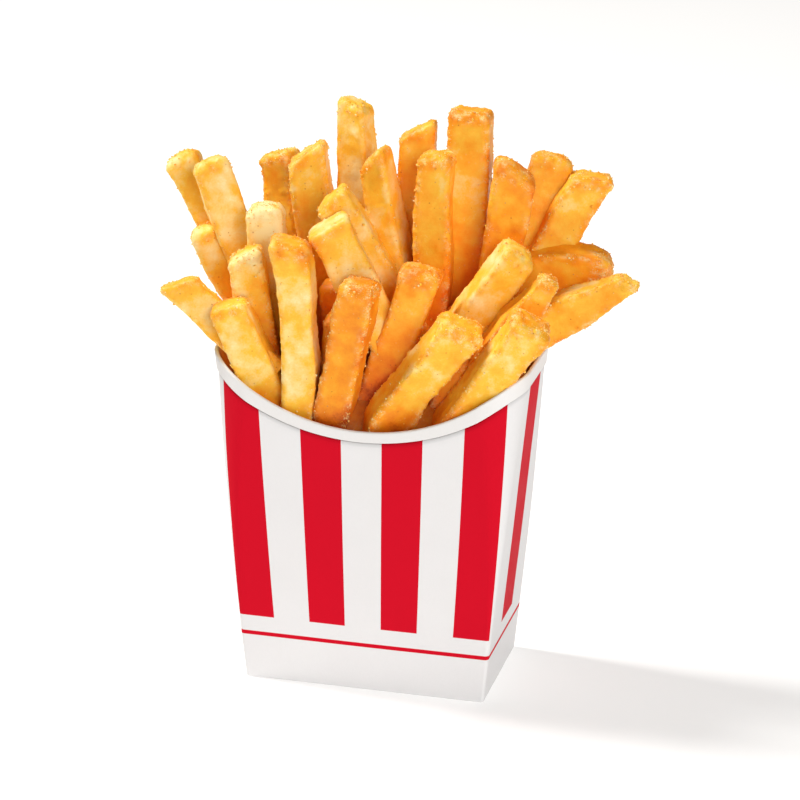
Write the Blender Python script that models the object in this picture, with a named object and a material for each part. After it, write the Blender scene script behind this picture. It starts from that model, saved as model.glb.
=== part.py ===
"""French fries standing in a folded paperboard carton with a turned-over rim.

All lengths are metres. The carton stands on z = 0 with the middle of its base at the origin.
Its front faces -Y, its two narrow sides face +X and -X.
"""

import math
import random
from typing import NamedTuple

import bmesh
import bpy
from mathutils import Vector

MM = 0.001

# Carton, outside sizes. It flares from a sharp-cornered base to a round-cornered mouth.
BASE_WIDTH = 78.8 * MM
BASE_DEPTH = 45 * MM
SIDE_FLARE = 0.101
FRONT_FLARE = 0.0265
WALL = 0.8 * MM
FLOOR = 1.0 * MM
BASE_CORNER = 1 * MM
MOUTH_CORNER = 13.5 * MM
MOUTH_HEIGHT = 102 * MM

# The rim dips in a wide scoop in front and behind, and runs level over the two sides.
SCOOP_LOW = 85.8 * MM
SCOOP_RISE = 19 * MM
SCOOP_HALF_WIDTH = 49.7 * MM
SCOOP_ROUNDING = 24

# The board is turned outwards over the rim and stands proud of the wall. The turned band is
# narrowest in the middle of the scoop and widens to its two ends.
TURN_HEIGHT = 3.5 * MM
TURN_WIDENING = 2.3 * MM
TURN_PROUD = 0.5 * MM
TURN_ROUND = 0.8 * MM

# Points on each straight stretch and each corner of the carton's outline.
FRONT_STEPS = 14
SIDE_STEPS = 4
CORNER_STEPS = 6
WALL_STEPS = (0.0, 0.35, 0.7, 1.0)

# The packed fries below the mouth, which the ones that show stand in: height in mm and share of the
# carton's outline, from 0.3 mm over the floor up to a dome.
PACK_CLEARANCE = 1.5 * MM
PACK_LEVELS = ((1.3, 1.0), (4, 1.0), (40, 1.0), (76, 1.0), (88, 0.8), (95, 0.45))

# A fry is a rounded square stick, a little uneven along its length.
FRY_THICKNESS = 11 * MM
FRY_CHAMFER = 0.17
FRY_RINGS = (0.0, 0.3, 0.6, 0.85, 0.97, 1.0)
TAPER_FROM = 0.65
END_ROUNDING = 0.75
SLANT_GROWTH = 6
UNEVEN = 0.06
SEED = 12


class Fry(NamedTuple):
    """One fry, in mm and degrees. Its axis is given where it crosses the height LAID_AT.

    A positive slant cuts the tip so that its right side stands higher than its left.
    """

    across: float
    deep: float
    lean: float
    pitch: float
    top: float
    foot: float
    width: float
    turn: float
    bow: float = 0
    tip: float = 1
    slant: float = 0


LAID_AT = 100

FRONT_ROW = (
    Fry(-34.3, -16.8, -21.3, -8, 126, 74, 12, 12, slant=-4),
    Fry(-24.4, -18, 2.2, -8, 149, 72, 10.3, 8, -3, 1.15, slant=-22),
    Fry(-8, -18, 12, -7, 137, 72, 11.5, 4, 1, slant=8),
    Fry(14, -17, 35, -8, 125.5, 80, 13, 24, 1, slant=12),
    Fry(33, -17, 36, -8, 128.2, 84, 12.6, 22, 1),
)
SECOND_ROW = (
    Fry(-28.4, -14.5, -48.5, -3, 130.1, 102, 11.4, 16, slant=-30),
    Fry(-36, -7, -8, -6, 140, 74, 11, 10, slant=14),
    Fry(10.7, -3, -25.2, -12, 152, 104, 13, 22, slant=4),
    Fry(2, -7, 20, -5, 139, 74, 12, 10, slant=8),
    Fry(30, -7, 34, -4, 139, 92, 12, 15, 0, 0.4),
)
THIRD_ROW = (
    Fry(-35.3, 2, -3, -2, 152.5, 74, 11, 8),
    Fry(-36.3, 8, -20.5, 2, 162.8, 92, 12, 26, slant=2),
    Fry(17, 6, -30, -9, 157, 106, 12, 15, slant=14),
    Fry(14.5, -1, 34, -4, 145.5, 96, 11, 20, slant=-4),
    Fry(22.8, 3, 56.8, 2, 136.2, 106, 11.8, 10, 0.5, 0.5, slant=34),
)
FOURTH_ROW = (
    Fry(-34.3, 8, -34.5, 2, 140.6, 108, 9.6, 15, 2),
    Fry(8.7, 10, -12, 2, 167.8, 84, 9.5, -6, 0, 0.9, slant=34),
    Fry(13.4, 8, 1, 2, 170.3, 84, 11.4, 5, slant=4),
    Fry(30, 8, 8.6, 3, 167.6, 84, 12.4, 16, 0, 1.05, slant=-22),
    Fry(22, 3, 55, 22, 133.2, 104, 14, 8, 14.5, 0.9),
)
BACK_ROW = (
    Fry(-34.9, 13, -32.6, 8, 160.4, 100, 11, 12),
    Fry(-29.8, 17, -9.9, 7, 162.8, 84, 10.5, -8, slant=4),
    Fry(-20, 11, -7, 4, 166.7, 84, 11.5, 12, slant=28),
    Fry(-11, 17, -3, 6, 181, 84, 11.5, -8, 0, 0.85, slant=-22),
    Fry(5.1, 17, 0, 6, 174.2, 84, 12.1, 8, 0, 0.88, slant=28),
    Fry(23.1, 16, 0, 3, 182, 84, 13.4, 6, slant=-3),
    Fry(34.1, 17, 12, 7, 168.2, 88, 13.6, 12, 0, 0.9),
    Fry(33, 13, 25, 8, 163.5, 92, 12.4, 14, 2.2, 1.05, slant=22),
)
INNER_FRIES = (
    Fry(-24, -6, -3, -2, 132, 84, 10, 12),
    Fry(-12, -6, 2, -2, 121, 84, 10, 5),
    Fry(-14, 4, -4, 0, 128, 84, 10.5, 10),
    Fry(1, 4, 4, 0, 124, 84, 10.5, 16),
    Fry(-5, 13, -2, 4, 134, 84, 10.5, 10),
    Fry(24, -8, 14, -4, 112, 80, 10, 10),
    Fry(28, -1, 10, -2, 119, 84, 10.5, 10),
    Fry(41, -5, 12, 0, 113, 84, 10, 8),
    Fry(40.5, 6, 14, 3, 118, 84, 10.5, -10),
    Fry(-41.5, 2, -10, 0, 114, 84, 10, 6),
    Fry(19, 4, 17, 2, 121, 84, 10, 20),
    Fry(34, 0, 22, 0, 116, 88, 10, 5),
)
REAR_FRIES = (
    Fry(-21, 18, -5, 9, 145, 84, 10.5, 5, slant=10),
    Fry(14, 18, 4, 9, 139, 84, 11, 12, slant=-12),
    Fry(-39.5, 14, -14, 5, 131, 84, 10, 8, slant=8),
    Fry(38.5, 15.5, 13, 7, 129, 84, 10.5, 10, slant=-8),
)
ALL_FRIES = (
    FRONT_ROW + SECOND_ROW + THIRD_ROW + FOURTH_ROW + BACK_ROW + INNER_FRIES + REAR_FRIES
)


def scoop_share(x):
    """Share of the scoop's rise at x: a parabola that levels out over the sides."""
    reach = abs(x) / SCOOP_HALF_WIDTH
    return reach ** 2 / (1 + reach ** SCOOP_ROUNDING) ** (2 / SCOOP_ROUNDING)


def rim_height(x):
    """Height of the turned band's lower edge at x."""
    return SCOOP_LOW + SCOOP_RISE * scoop_share(x)


def turn_height(x):
    """Height of the turned band itself at x."""
    return TURN_HEIGHT + TURN_WIDENING * scoop_share(x)


def rounded_rectangle(half_width, half_depth, radius):
    """Points of a rounded rectangle, counter-clockwise from its corner at +X and -Y."""
    corners = ((1, -1, -90), (1, 1, 0), (-1, 1, 90), (-1, -1, 180))
    arcs = []
    for side_x, side_y, start in corners:
        centre = Vector((side_x * (half_width - radius), side_y * (half_depth - radius)))
        arc = []
        for step in range(CORNER_STEPS + 1):
            angle = math.radians(start + 90 * step / CORNER_STEPS)
            arc.append(centre + radius * Vector((math.cos(angle), math.sin(angle))))
        arcs.append(arc)
    points = []
    for index, arc in enumerate(arcs):
        points.extend(arc)
        following = arcs[(index + 1) % len(arcs)][0]
        steps = SIDE_STEPS if index % 2 == 0 else FRONT_STEPS
        points.extend(arc[-1].lerp(following, step / steps) for step in range(1, steps))
    return points


def carton_outline(height, offset):
    """Outline of the carton at a height, offset outwards from its outer wall."""
    share = min(height / MOUTH_HEIGHT, 1.0)
    radius = BASE_CORNER + (MOUTH_CORNER - BASE_CORNER) * share ** 2
    half_width = BASE_WIDTH / 2 + SIDE_FLARE * height
    half_depth = BASE_DEPTH / 2 + FRONT_FLARE * height
    return rounded_rectangle(half_width + offset, half_depth + offset, radius + offset)


def carton_ring(share, offset, turned=0.0, lift=0.0):
    """Ring round the carton, at shares of the way up to the rim and up its turned band."""
    ring = []
    for index, point in enumerate(carton_outline(MOUTH_HEIGHT, 0)):
        height = rim_height(point.x) * share + turn_height(point.x) * turned + lift
        place = carton_outline(height, offset)[index]
        ring.append(Vector((place.x, place.y, height)))
    return ring


def loft(name, rings):
    """Closed body through rings of equally many points, with a flat face on each end."""
    bm = bmesh.new()
    loops = [[bm.verts.new(point) for point in ring] for ring in rings]
    count = len(loops[0])
    for lower, upper in zip(loops, loops[1:]):
        for index in range(count):
            after = (index + 1) % count
            bm.faces.new((lower[index], lower[after], upper[after], upper[index]))
    bm.faces.new(list(reversed(loops[0])))
    bm.faces.new(loops[-1])
    bmesh.ops.recalc_face_normals(bm, faces=bm.faces)
    mesh = bpy.data.meshes.new(name)
    bm.to_mesh(mesh)
    bm.free()
    return bpy.data.objects.new(name, mesh)


def make_carton():
    """The folded board: floor, walls and turned rim, as one body."""
    outside = [carton_ring(share, 0) for share in WALL_STEPS]
    turned = [
        carton_ring(1.0, TURN_PROUD),
        carton_ring(1.0, TURN_PROUD, 1.0, -TURN_ROUND),
        carton_ring(1.0, (TURN_PROUD - WALL) / 2, 1.0),
        carton_ring(1.0, -WALL, 1.0, -TURN_ROUND),
    ]
    inside = [carton_ring(share, -WALL) for share in reversed(WALL_STEPS[1:-1])]
    floor = [Vector((point.x, point.y, FLOOR)) for point in carton_outline(FLOOR, -WALL)]
    return loft("carton", outside + turned + inside + [floor])


def make_pack():
    """The packed mass below the mouth, a little inside the carton and domed on top."""
    rings = []
    for level, size in PACK_LEVELS:
        height = level * MM
        outline = carton_outline(height, -WALL - PACK_CLEARANCE)
        rings.append([Vector((point.x * size, point.y * size, height)) for point in outline])
    return loft("fries", rings)


def fry_axis(fry):
    """Foot, middle and tip of a fry's axis. The middle is moved sideways by the fry's bow."""
    slope = Vector((math.tan(math.radians(fry.lean)), math.tan(math.radians(fry.pitch)), 1.0))
    crossing = Vector((fry.across, fry.deep, LAID_AT))
    foot = crossing + slope * (fry.foot - LAID_AT)
    tip = crossing + slope * (fry.top - LAID_AT)
    sideways = Vector((-slope.z, 0, slope.x)).normalized()
    middle = (foot + tip) / 2 + sideways * fry.bow
    return foot * MM, middle * MM, tip * MM


def fry_section(width, thickness):
    """Eight points of a square with cut corners, as pairs across and along the depth."""
    x, y = width / 2, thickness / 2
    cut = FRY_CHAMFER * min(width, thickness)
    return (
        (x, -y + cut), (x, y - cut), (x - cut, y), (-x + cut, y),
        (-x, y - cut), (-x, -y + cut), (-x + cut, -y), (x - cut, -y),
    )


def make_fry(index, fry, draw):
    """One fry, lofted along its bowed axis with a slightly uneven thickness."""
    foot, middle, tip = fry_axis(fry)
    control = middle * 2 - (foot + tip) / 2
    rings = []
    for share in FRY_RINGS:
        centre = foot * (1 - share) ** 2 + control * 2 * share * (1 - share) + tip * share ** 2
        tangent = ((control - foot) * (1 - share) + (tip - control) * share).normalized()
        across = Vector((1, 0, 0)) - tangent * tangent.x
        across.normalize()
        depth = tangent.cross(across)
        turn = math.radians(fry.turn)
        right = across * math.cos(turn) + depth * math.sin(turn)
        back = depth * math.cos(turn) - across * math.sin(turn)
        size = 1 + draw.uniform(-UNEVEN, UNEVEN)
        taper = max(0, share - TAPER_FROM) / (1 - TAPER_FROM)
        size *= 1 - (1 - fry.tip) * taper
        if share == FRY_RINGS[-1]:
            size *= END_ROUNDING
        section = fry_section(fry.width * MM * size, FRY_THICKNESS * size)
        rise = math.tan(math.radians(fry.slant)) * share ** SLANT_GROWTH
        rings.append([centre + right * u + back * v + tangent * u * rise for u, v in section])
    return loft(f"fry_{index}", rings)


def keep_largest_shell(mesh):
    """Drop the scraps and the sealed hollows that a union leaves beside the main shell."""
    bm = bmesh.new()
    bm.from_mesh(mesh)
    unseen = set(bm.verts)
    shells = []
    while unseen:
        reached = [unseen.pop()]
        shell = list(reached)
        while reached:
            vert = reached.pop()
            for edge in vert.link_edges:
                other = edge.other_vert(vert)
                if other in unseen:
                    unseen.remove(other)
                    reached.append(other)
                    shell.append(other)
        shells.append(shell)
    largest = max(shells, key=len)
    loose = [vert for shell in shells if shell is not largest for vert in shell]
    bmesh.ops.delete(bm, geom=loose, context="VERTS")
    bm.to_mesh(mesh)
    bm.free()


def make_fries(parts, helpers):
    """The whole bundle: the fries that show, joined to the packed mass in one union."""
    pack = make_pack()
    parts.objects.link(pack)
    draw = random.Random(SEED)
    sticks = [make_fry(index, fry, draw) for index, fry in enumerate(ALL_FRIES)]
    for stick in sticks:
        helpers.objects.link(stick)
    union = pack.modifiers.new("join", "BOOLEAN")
    union.operation = "UNION"
    union.operand_type = "COLLECTION"
    union.collection = helpers
    union.solver = "MANIFOLD"
    bpy.context.view_layer.update()
    joined = bpy.data.meshes.new_from_object(pack.evaluated_get(bpy.context.evaluated_depsgraph_get()))
    pack.modifiers.clear()
    pack.data = joined
    for stick in sticks:
        bpy.data.objects.remove(stick)
    keep_largest_shell(pack.data)
    return pack


def make_material(name, colour, roughness):
    """A plain non-metal surface."""
    material = bpy.data.materials.new(name)
    material.use_nodes = True
    shader = material.node_tree.nodes["Principled BSDF"]
    shader.inputs["Base Color"].default_value = (*colour, 1)
    shader.inputs["Roughness"].default_value = roughness
    shader.inputs["Metallic"].default_value = 0
    return material


def dress(part, material):
    """Give a part its one material."""
    part.data.materials.clear()
    part.data.materials.append(material)


def main():
    for scene_object in list(bpy.data.objects):
        bpy.data.objects.remove(scene_object)
    parts = bpy.data.collections.new("french_fries_in_a_carton")
    helpers = bpy.data.collections.new("helpers")
    for collection in (parts, helpers):
        bpy.context.scene.collection.children.link(collection)

    carton = make_carton()
    parts.objects.link(carton)
    dress(carton, make_material("red_and_white_board", (0.75, 0.02, 0.03), 0.45))

    fries = make_fries(parts, helpers)
    dress(fries, make_material("golden_fry", (0.85, 0.45, 0.10), 0.55))
    bpy.data.collections.remove(helpers)


main()
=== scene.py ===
"""Finished looks of a carton of french fries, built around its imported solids.

Lengths are metres unless a name or a docstring says millimetres. +Z is up, the carton stands on
z = 0 and its wide front faces -Y. Shapes are worked out on grids with numpy, and every finish is a
procedural material.
"""

import itertools
import logging
import math
import random
from dataclasses import dataclass, field, replace
from enum import Enum

import bpy
import numpy as np
from mathutils import Matrix, Vector


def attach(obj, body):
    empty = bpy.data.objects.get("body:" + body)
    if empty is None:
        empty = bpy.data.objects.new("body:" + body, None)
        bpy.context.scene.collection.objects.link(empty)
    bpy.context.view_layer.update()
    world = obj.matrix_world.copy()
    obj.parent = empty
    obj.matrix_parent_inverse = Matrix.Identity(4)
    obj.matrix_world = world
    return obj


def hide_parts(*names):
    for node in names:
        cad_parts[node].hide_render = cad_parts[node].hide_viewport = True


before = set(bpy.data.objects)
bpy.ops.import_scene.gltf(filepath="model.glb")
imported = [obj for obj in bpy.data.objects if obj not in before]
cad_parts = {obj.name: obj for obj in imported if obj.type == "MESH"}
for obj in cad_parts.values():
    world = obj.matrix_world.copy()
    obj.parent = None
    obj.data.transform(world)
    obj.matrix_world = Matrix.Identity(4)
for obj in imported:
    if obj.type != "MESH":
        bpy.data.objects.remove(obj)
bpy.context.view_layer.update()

Array = np.ndarray
Socket = bpy.types.NodeSocket
MM = 0.001
TINY = 1e-9
log = logging.getLogger("fries_in_a_carton")


class Node(Enum):
    """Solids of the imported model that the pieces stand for."""

    CARTON = "carton"
    FRIES = "fries"


class Slot(Enum):
    """Material slots of the record."""

    BOARD = "striped_board"
    POTATO = "fried_potato"


class Panel(Enum):
    """The four walls of the carton, counter-clockwise seen from above."""

    FRONT = 0
    RIGHT = 1
    BACK = 2
    LEFT = 3


class BoardFace(Enum):
    """The parts of the board's section."""

    PRINTED = 0
    TURNED = 1
    INNER = 2


def lattice_values(lattice: Array, seed: int) -> Array:
    """Draw one number from 0 to 1 for every whole-numbered point.

    Each coordinate is multiplied by a large odd number of its own, the three are joined by
    exclusive-or, and two rounds of shifting and multiplying mix the bits.

    Args:
        lattice: whole numbers, three to a point.
        seed: a whole number that picks one pattern among many.

    Returns:
        One value for each point.
    """
    factors = (0x9E3779B1, 0x85EBCA77, 0xC2B2AE3D)
    mixer = np.uint32(0x2C1B3C6D)
    half_word = np.uint32(15)
    mixed = np.full(lattice.shape[:-1], seed * 7919 + 17, dtype=np.uint32)
    for axis, factor in enumerate(factors):
        mixed ^= lattice[..., axis].astype(np.uint32) * np.uint32(factor)
        mixed ^= mixed >> half_word
        mixed *= mixer
    mixed ^= mixed >> half_word
    return mixed / float(2**32)


def smooth_noise(points: Array, cell: float, seed: int) -> Array:
    """Smooth noise from -1 to 1 with bumps about one cell across.

    The value at a point is the mean of its cell's eight corner values, each weighted by the
    product over the axes of 3t^2 - 2t^3, where t is how near the point is to that corner.

    Args:
        points: places, three coordinates to a point.
        cell: size of one cell in the same unit.
        seed: picks the pattern.

    Returns:
        One value for each point.
    """
    scaled = np.asarray(points, dtype=float) / cell
    low = np.floor(scaled)
    near = scaled - low
    blend = near * near * (3 - 2 * near)
    low = low.astype(np.int64)
    total = np.zeros(scaled.shape[:-1])
    for corner in itertools.product((0, 1), repeat=3):
        step = np.array(corner)
        weight = np.prod(np.where(step == 1, blend, 1 - blend), axis=-1)
        total += weight * lattice_values(low + step, seed)
    return total * 2 - 1


def line_noise(places: Array, cell: float, seed: int) -> Array:
    """Smooth noise from -1 to 1 along a line, read from smooth_noise on one axis."""
    points = np.zeros(places.shape + (3,))
    points[..., 0] = places
    return smooth_noise(points, cell, seed)


def ramp(values: Array, low: float, high: float) -> Array:
    """Smooth step from 0 at low to 1 at high: 3t^2 - 2t^3 of the clipped share t."""
    share = np.clip((values - low) / (high - low), 0, 1)
    return share * share * (3 - 2 * share)


@dataclass(frozen=True)
class Ripple:
    """Smooth noise of a given strength and cell size."""

    strength: float
    cell: float

    def at(self, places: Array, seed: int) -> Array:
        """The noise at each place."""
        return self.strength * smooth_noise(places, self.cell, seed)

    def along(self, places: Array, seed: int) -> Array:
        """The noise at each place on a line."""
        return self.strength * line_noise(places, self.cell, seed)


@dataclass
class Skin:
    """A mesh held as arrays, ready to be joined to others and made a piece.

    points holds one place a row, quads and triangles the point numbers of each face, values one
    number a point under each name, and quad_print and triangle_print the print coordinates of
    each face corner where the skin is printed.
    """

    points: Array
    quads: Array
    triangles: Array
    values: dict[str, Array] = field(default_factory=dict)
    quad_print: Array | None = None
    triangle_print: Array | None = None

    @staticmethod
    def from_rings(rings: Array, first_pole: Array, last_pole: Array,
                   values: dict[str, Array] | None = None) -> "Skin":
        """Close a grid of rings into one skin with a point at each end.

        Point (row, column) has the number row * columns + column. The last column meets the
        first, and the two poles come after the rings. A quad runs counter-clockwise round the
        ring and on to the next one, so a stack that climbs has its faces pointing out.

        Args:
            rings: places as rows, columns and three coordinates.
            first_pole: point that closes the first ring.
            last_pole: point that closes the last ring.
            values: numbers as rows and columns, whose poles take the mean of their ring.

        Returns:
            The closed skin.
        """
        rows, columns = rings.shape[:2]
        numbers = np.arange(rows * columns).reshape(rows, columns)
        after = np.roll(numbers, -1, axis=1)
        quads = np.stack((numbers[:-1], after[:-1], after[1:], numbers[1:]), axis=-1)
        first = np.full(columns, rows * columns)
        first_fan = np.stack((first, after[0], numbers[0]), axis=-1)
        last_fan = np.stack((numbers[-1], after[-1], first + 1), axis=-1)
        points = np.concatenate((rings.reshape(-1, 3), first_pole[None], last_pole[None]))
        spread = {
            name: np.append(grid.ravel(), (grid[0].mean(), grid[-1].mean()))
            for name, grid in (values or {}).items()
        }
        return Skin(points, quads.reshape(-1, 4), np.concatenate((first_fan, last_fan)), spread)

    @staticmethod
    def joined(skins: list["Skin"]) -> "Skin":
        """Lay several skins in one mesh, their point numbers moved on by those before them."""
        starts = np.cumsum([0] + [len(skin.points) for skin in skins[:-1]])
        return Skin(
            np.concatenate([skin.points for skin in skins]),
            np.concatenate([skin.quads + start for skin, start in zip(skins, starts)]),
            np.concatenate([skin.triangles + start for skin, start in zip(skins, starts)]),
            {name: np.concatenate([skin.values[name] for skin in skins])
             for name in skins[0].values},
        )

    def to_object(self, name: str, node: Node, slot: Slot,
                  materials: list[bpy.types.Material]) -> bpy.types.Object:
        """Make the piece: its mesh, values, print, finish and place in the frame.

        Args:
            name: the piece's name.
            node: the solid that it stands for.
            slot: not used.
            materials: its materials, the first of them on every face.

        Returns:
            The new object.
        """
        mesh = bpy.data.meshes.new(name)
        corners = np.concatenate((self.quads.ravel(), self.triangles.ravel()))
        starts = np.concatenate((
            np.arange(len(self.quads)) * 4,
            len(self.quads) * 4 + np.arange(len(self.triangles)) * 3,
        ))
        mesh.vertices.add(len(self.points))
        mesh.vertices.foreach_set("co", self.points.astype(np.float32).ravel())
        mesh.loops.add(len(corners))
        mesh.loops.foreach_set("vertex_index", corners.astype(np.int32))
        mesh.polygons.add(len(starts))
        mesh.polygons.foreach_set("loop_start", starts.astype(np.int32))
        if self.quad_print is not None:
            layer = mesh.uv_layers.new(name="print")
            places = np.concatenate((self.quad_print.ravel(), self.triangle_print.ravel()))
            layer.data.foreach_set("uv", places.astype(np.float32))
        mesh.update(calc_edges=True)
        for key, numbers in self.values.items():
            attribute = mesh.attributes.new(key, "FLOAT", "POINT")
            attribute.data.foreach_set("value", numbers.astype(np.float32))
        mesh.shade_smooth()
        for material in materials:
            mesh.materials.append(material)
        piece = bpy.data.objects.new(name, mesh)
        bpy.context.scene.collection.objects.link(piece)
        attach(piece, "root")
        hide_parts(node.value)
        triangle_count = 2 * len(self.quads) + len(self.triangles)
        log.info("%s: %d points, %d triangles", name, len(self.points), triangle_count)
        return piece


def outward_normals(rings: Array) -> Array:
    """Unit normals of a grid of rings: the step round the ring crossed with the step along it."""
    around = np.roll(rings, -1, axis=1) - np.roll(rings, 1, axis=1)
    along = np.gradient(rings, axis=0)
    normals = np.cross(around, along)
    return normals / np.maximum(np.linalg.norm(normals, axis=-1, keepdims=True), TINY)


@dataclass
class Desk:
    """Lays out the nodes of one shader tree and links them."""

    tree: bpy.types.NodeTree

    def node(self, kind: str, inputs: dict[str, object] | None = None,
             **settings: object) -> bpy.types.Node:
        """Add a node.

        Args:
            kind: the node's Blender type.
            inputs: numbers, colours or sockets for its inputs, by name.
            settings: the node's own properties.

        Returns:
            The node.
        """
        made = self.tree.nodes.new(kind)
        for key, value in settings.items():
            setattr(made, key, value)
        self.feed_all(made, inputs or {})
        return made

    def feed_all(self, node: bpy.types.Node, inputs: dict[str, object]) -> None:
        """Feed several of a node's inputs."""
        for key, value in inputs.items():
            self.feed(node.inputs[key], value)

    def feed(self, target: Socket, value: object) -> None:
        """Link a socket to an input, or set the input to a number or colour."""
        if isinstance(value, bpy.types.NodeSocket):
            self.tree.links.new(value, target)
        elif isinstance(value, tuple) and len(value) == 3 and target.type == "RGBA":
            target.default_value = (*value, 1)
        else:
            target.default_value = value

    def sum(self, operation: str, *values: object, clamp: bool = False) -> Socket:
        """One step of arithmetic on numbers or sockets."""
        made = self.node("ShaderNodeMath", operation=operation, use_clamp=clamp)
        for target, value in zip(made.inputs, values):
            self.feed(target, value)
        return made.outputs[0]

    def span(self, value: Socket, low: float, high: float,
             to_low: float = 0, to_high: float = 1) -> Socket:
        """Map a value from one range to another, clipped at both ends."""
        made = self.node("ShaderNodeMapRange", {
            "Value": value, "From Min": low, "From Max": high,
            "To Min": to_low, "To Max": to_high,
        })
        return made.outputs["Result"]

    def blend(self, share: object, first: object, second: object,
              way: str = "MIX") -> Socket:
        """Mix two colours by a share."""
        made = self.node("ShaderNodeMix", data_type="RGBA", blend_type=way)
        factor, colours = made.inputs[0], [s for s in made.inputs if s.type == "RGBA"]
        self.feed(factor, share)
        self.feed(colours[0], first)
        self.feed(colours[1], second)
        return next(s for s in made.outputs if s.type == "RGBA")

    def noise(self, place: Socket, cell: float, detail: float = 2,
              roughness: float = 0.5) -> Socket:
        """Noise from 0 to 1 whose bumps are about one cell across."""
        made = self.node("ShaderNodeTexNoise", {
            "Vector": place, "Scale": 1 / cell, "Detail": detail, "Roughness": roughness,
        })
        return made.outputs[0]

    def scaled(self, colour: Socket, factor: object) -> Socket:
        """Multiply a colour by a number."""
        made = self.node("ShaderNodeVectorMath", {0: colour, "Scale": factor}, operation="SCALE")
        return made.outputs[0]

    def bump(self, height: Socket, strength: float, distance: float) -> Socket:
        """The normal of a surface raised by a height times a distance."""
        return self.node("ShaderNodeBump", {
            "Height": height, "Strength": strength, "Distance": distance}).outputs[0]

    def attribute(self, name: str) -> Socket:
        """A number stored on the mesh."""
        return self.node("ShaderNodeAttribute", attribute_name=name).outputs["Fac"]

    def ramp(self, share: Socket, stops: tuple[tuple[float, tuple], ...]) -> Socket:
        """A colour ramp.

        Args:
            share: where to read the ramp.
            stops: place and colour of each stop, in order.

        Returns:
            The colour.
        """
        made = self.node("ShaderNodeValToRGB", {"Fac": share})
        elements = made.color_ramp.elements
        while len(elements) < len(stops):
            elements.new(0.5)
        for element, (place, colour) in zip(elements, stops):
            element.position = place
            element.color = (*colour, 1)
        return made.outputs["Color"]


def new_group(name: str, inputs: dict[str, float], outputs: tuple[str, ...]
              ) -> tuple[bpy.types.NodeTree, Desk, bpy.types.Node, bpy.types.Node]:
    """Start a shader node group whose sockets all carry numbers.

    Args:
        name: the group's name.
        inputs: each input's name and starting value.
        outputs: each output's name.

    Returns:
        The group, a desk for its nodes, its input node and its output node.
    """
    tree = bpy.data.node_groups.new(name, "ShaderNodeTree")
    for key, value in inputs.items():
        made = tree.interface.new_socket(key, in_out="INPUT", socket_type="NodeSocketFloat")
        made.default_value = value
    for key in outputs:
        tree.interface.new_socket(key, in_out="OUTPUT", socket_type="NodeSocketFloat")
    desk = Desk(tree)
    return tree, desk, desk.node("NodeGroupInput"), desk.node("NodeGroupOutput")


def board_fibre_group() -> bpy.types.NodeTree:
    """Paper fibre, shared by the printed and the bare board.

    Grain is a fine noise stretched a little along the height, Mottle a broad one, and Scuff marks
    where a fold's coating has cracked: Fold times a fine noise, cut off below Scuff Level.
    """
    group, desk, given, result = new_group(
        "board_fibre", {"Fold": 0, "Scuff Level": 0.5}, ("Grain", "Mottle", "Scuff"))
    place = desk.node("ShaderNodeTexCoord").outputs["Object"]
    stretched = desk.node("ShaderNodeMapping", {"Vector": place, "Scale": (1, 1, 0.45)})
    grain = desk.noise(stretched.outputs[0], 0.55 * MM, detail=4, roughness=0.65)
    mottle = desk.noise(place, 14 * MM, detail=3)
    crack = desk.noise(place, 0.9 * MM, detail=3, roughness=0.7)
    worn = desk.sum("MULTIPLY", given.outputs["Fold"], crack)
    above = desk.sum("SUBTRACT", worn, given.outputs["Scuff Level"])
    scuff = desk.sum("MULTIPLY", above, 9, clamp=True)
    desk.feed_all(result, {"Grain": grain, "Mottle": mottle, "Scuff": scuff})
    return group


def fried_grain_group() -> bpy.types.NodeTree:
    """The fine look of a fried crust, shared by the fries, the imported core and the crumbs.

    Patch is a soft noise a few millimetres wide, Grain a fine one for relief and tint, Speck
    marks sparse dark spots of seasoning, and Glint marks pale grains of salt and coating.
    """
    group, desk, given, result = new_group(
        "fried_grain", {"Grain Size": 0.6 * MM, "Speck Size": 1.6 * MM},
        ("Patch", "Grain", "Speck", "Glint"))
    place = desk.node("ShaderNodeTexCoord").outputs["Object"]
    patch = desk.noise(place, 5 * MM, detail=3, roughness=0.6)
    fine = desk.node("ShaderNodeTexNoise", {
        "Vector": place, "Detail": 3, "Roughness": 0.6,
        "Scale": desk.sum("DIVIDE", 1, given.outputs["Grain Size"])})
    spots = desk.node("ShaderNodeTexVoronoi", {
        "Vector": place, "Scale": desk.sum("DIVIDE", 1, given.outputs["Speck Size"])})
    chosen = desk.node("ShaderNodeSeparateColor", {"Color": spots.outputs["Color"]})
    rare = desk.span(chosen.outputs[0], 0.80, 0.84)
    near = desk.span(spots.outputs["Distance"], 0.11, 0.19, 1, 0)
    speck = desk.sum("MULTIPLY", rare, near)
    salt = desk.span(chosen.outputs[1], 0.70, 0.74)
    close = desk.span(spots.outputs["Distance"], 0.14, 0.24, 1, 0)
    glint = desk.sum("MULTIPLY", salt, close)
    desk.feed_all(result, {
        "Patch": patch, "Grain": fine.outputs[0], "Speck": speck, "Glint": glint})
    return group


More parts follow.
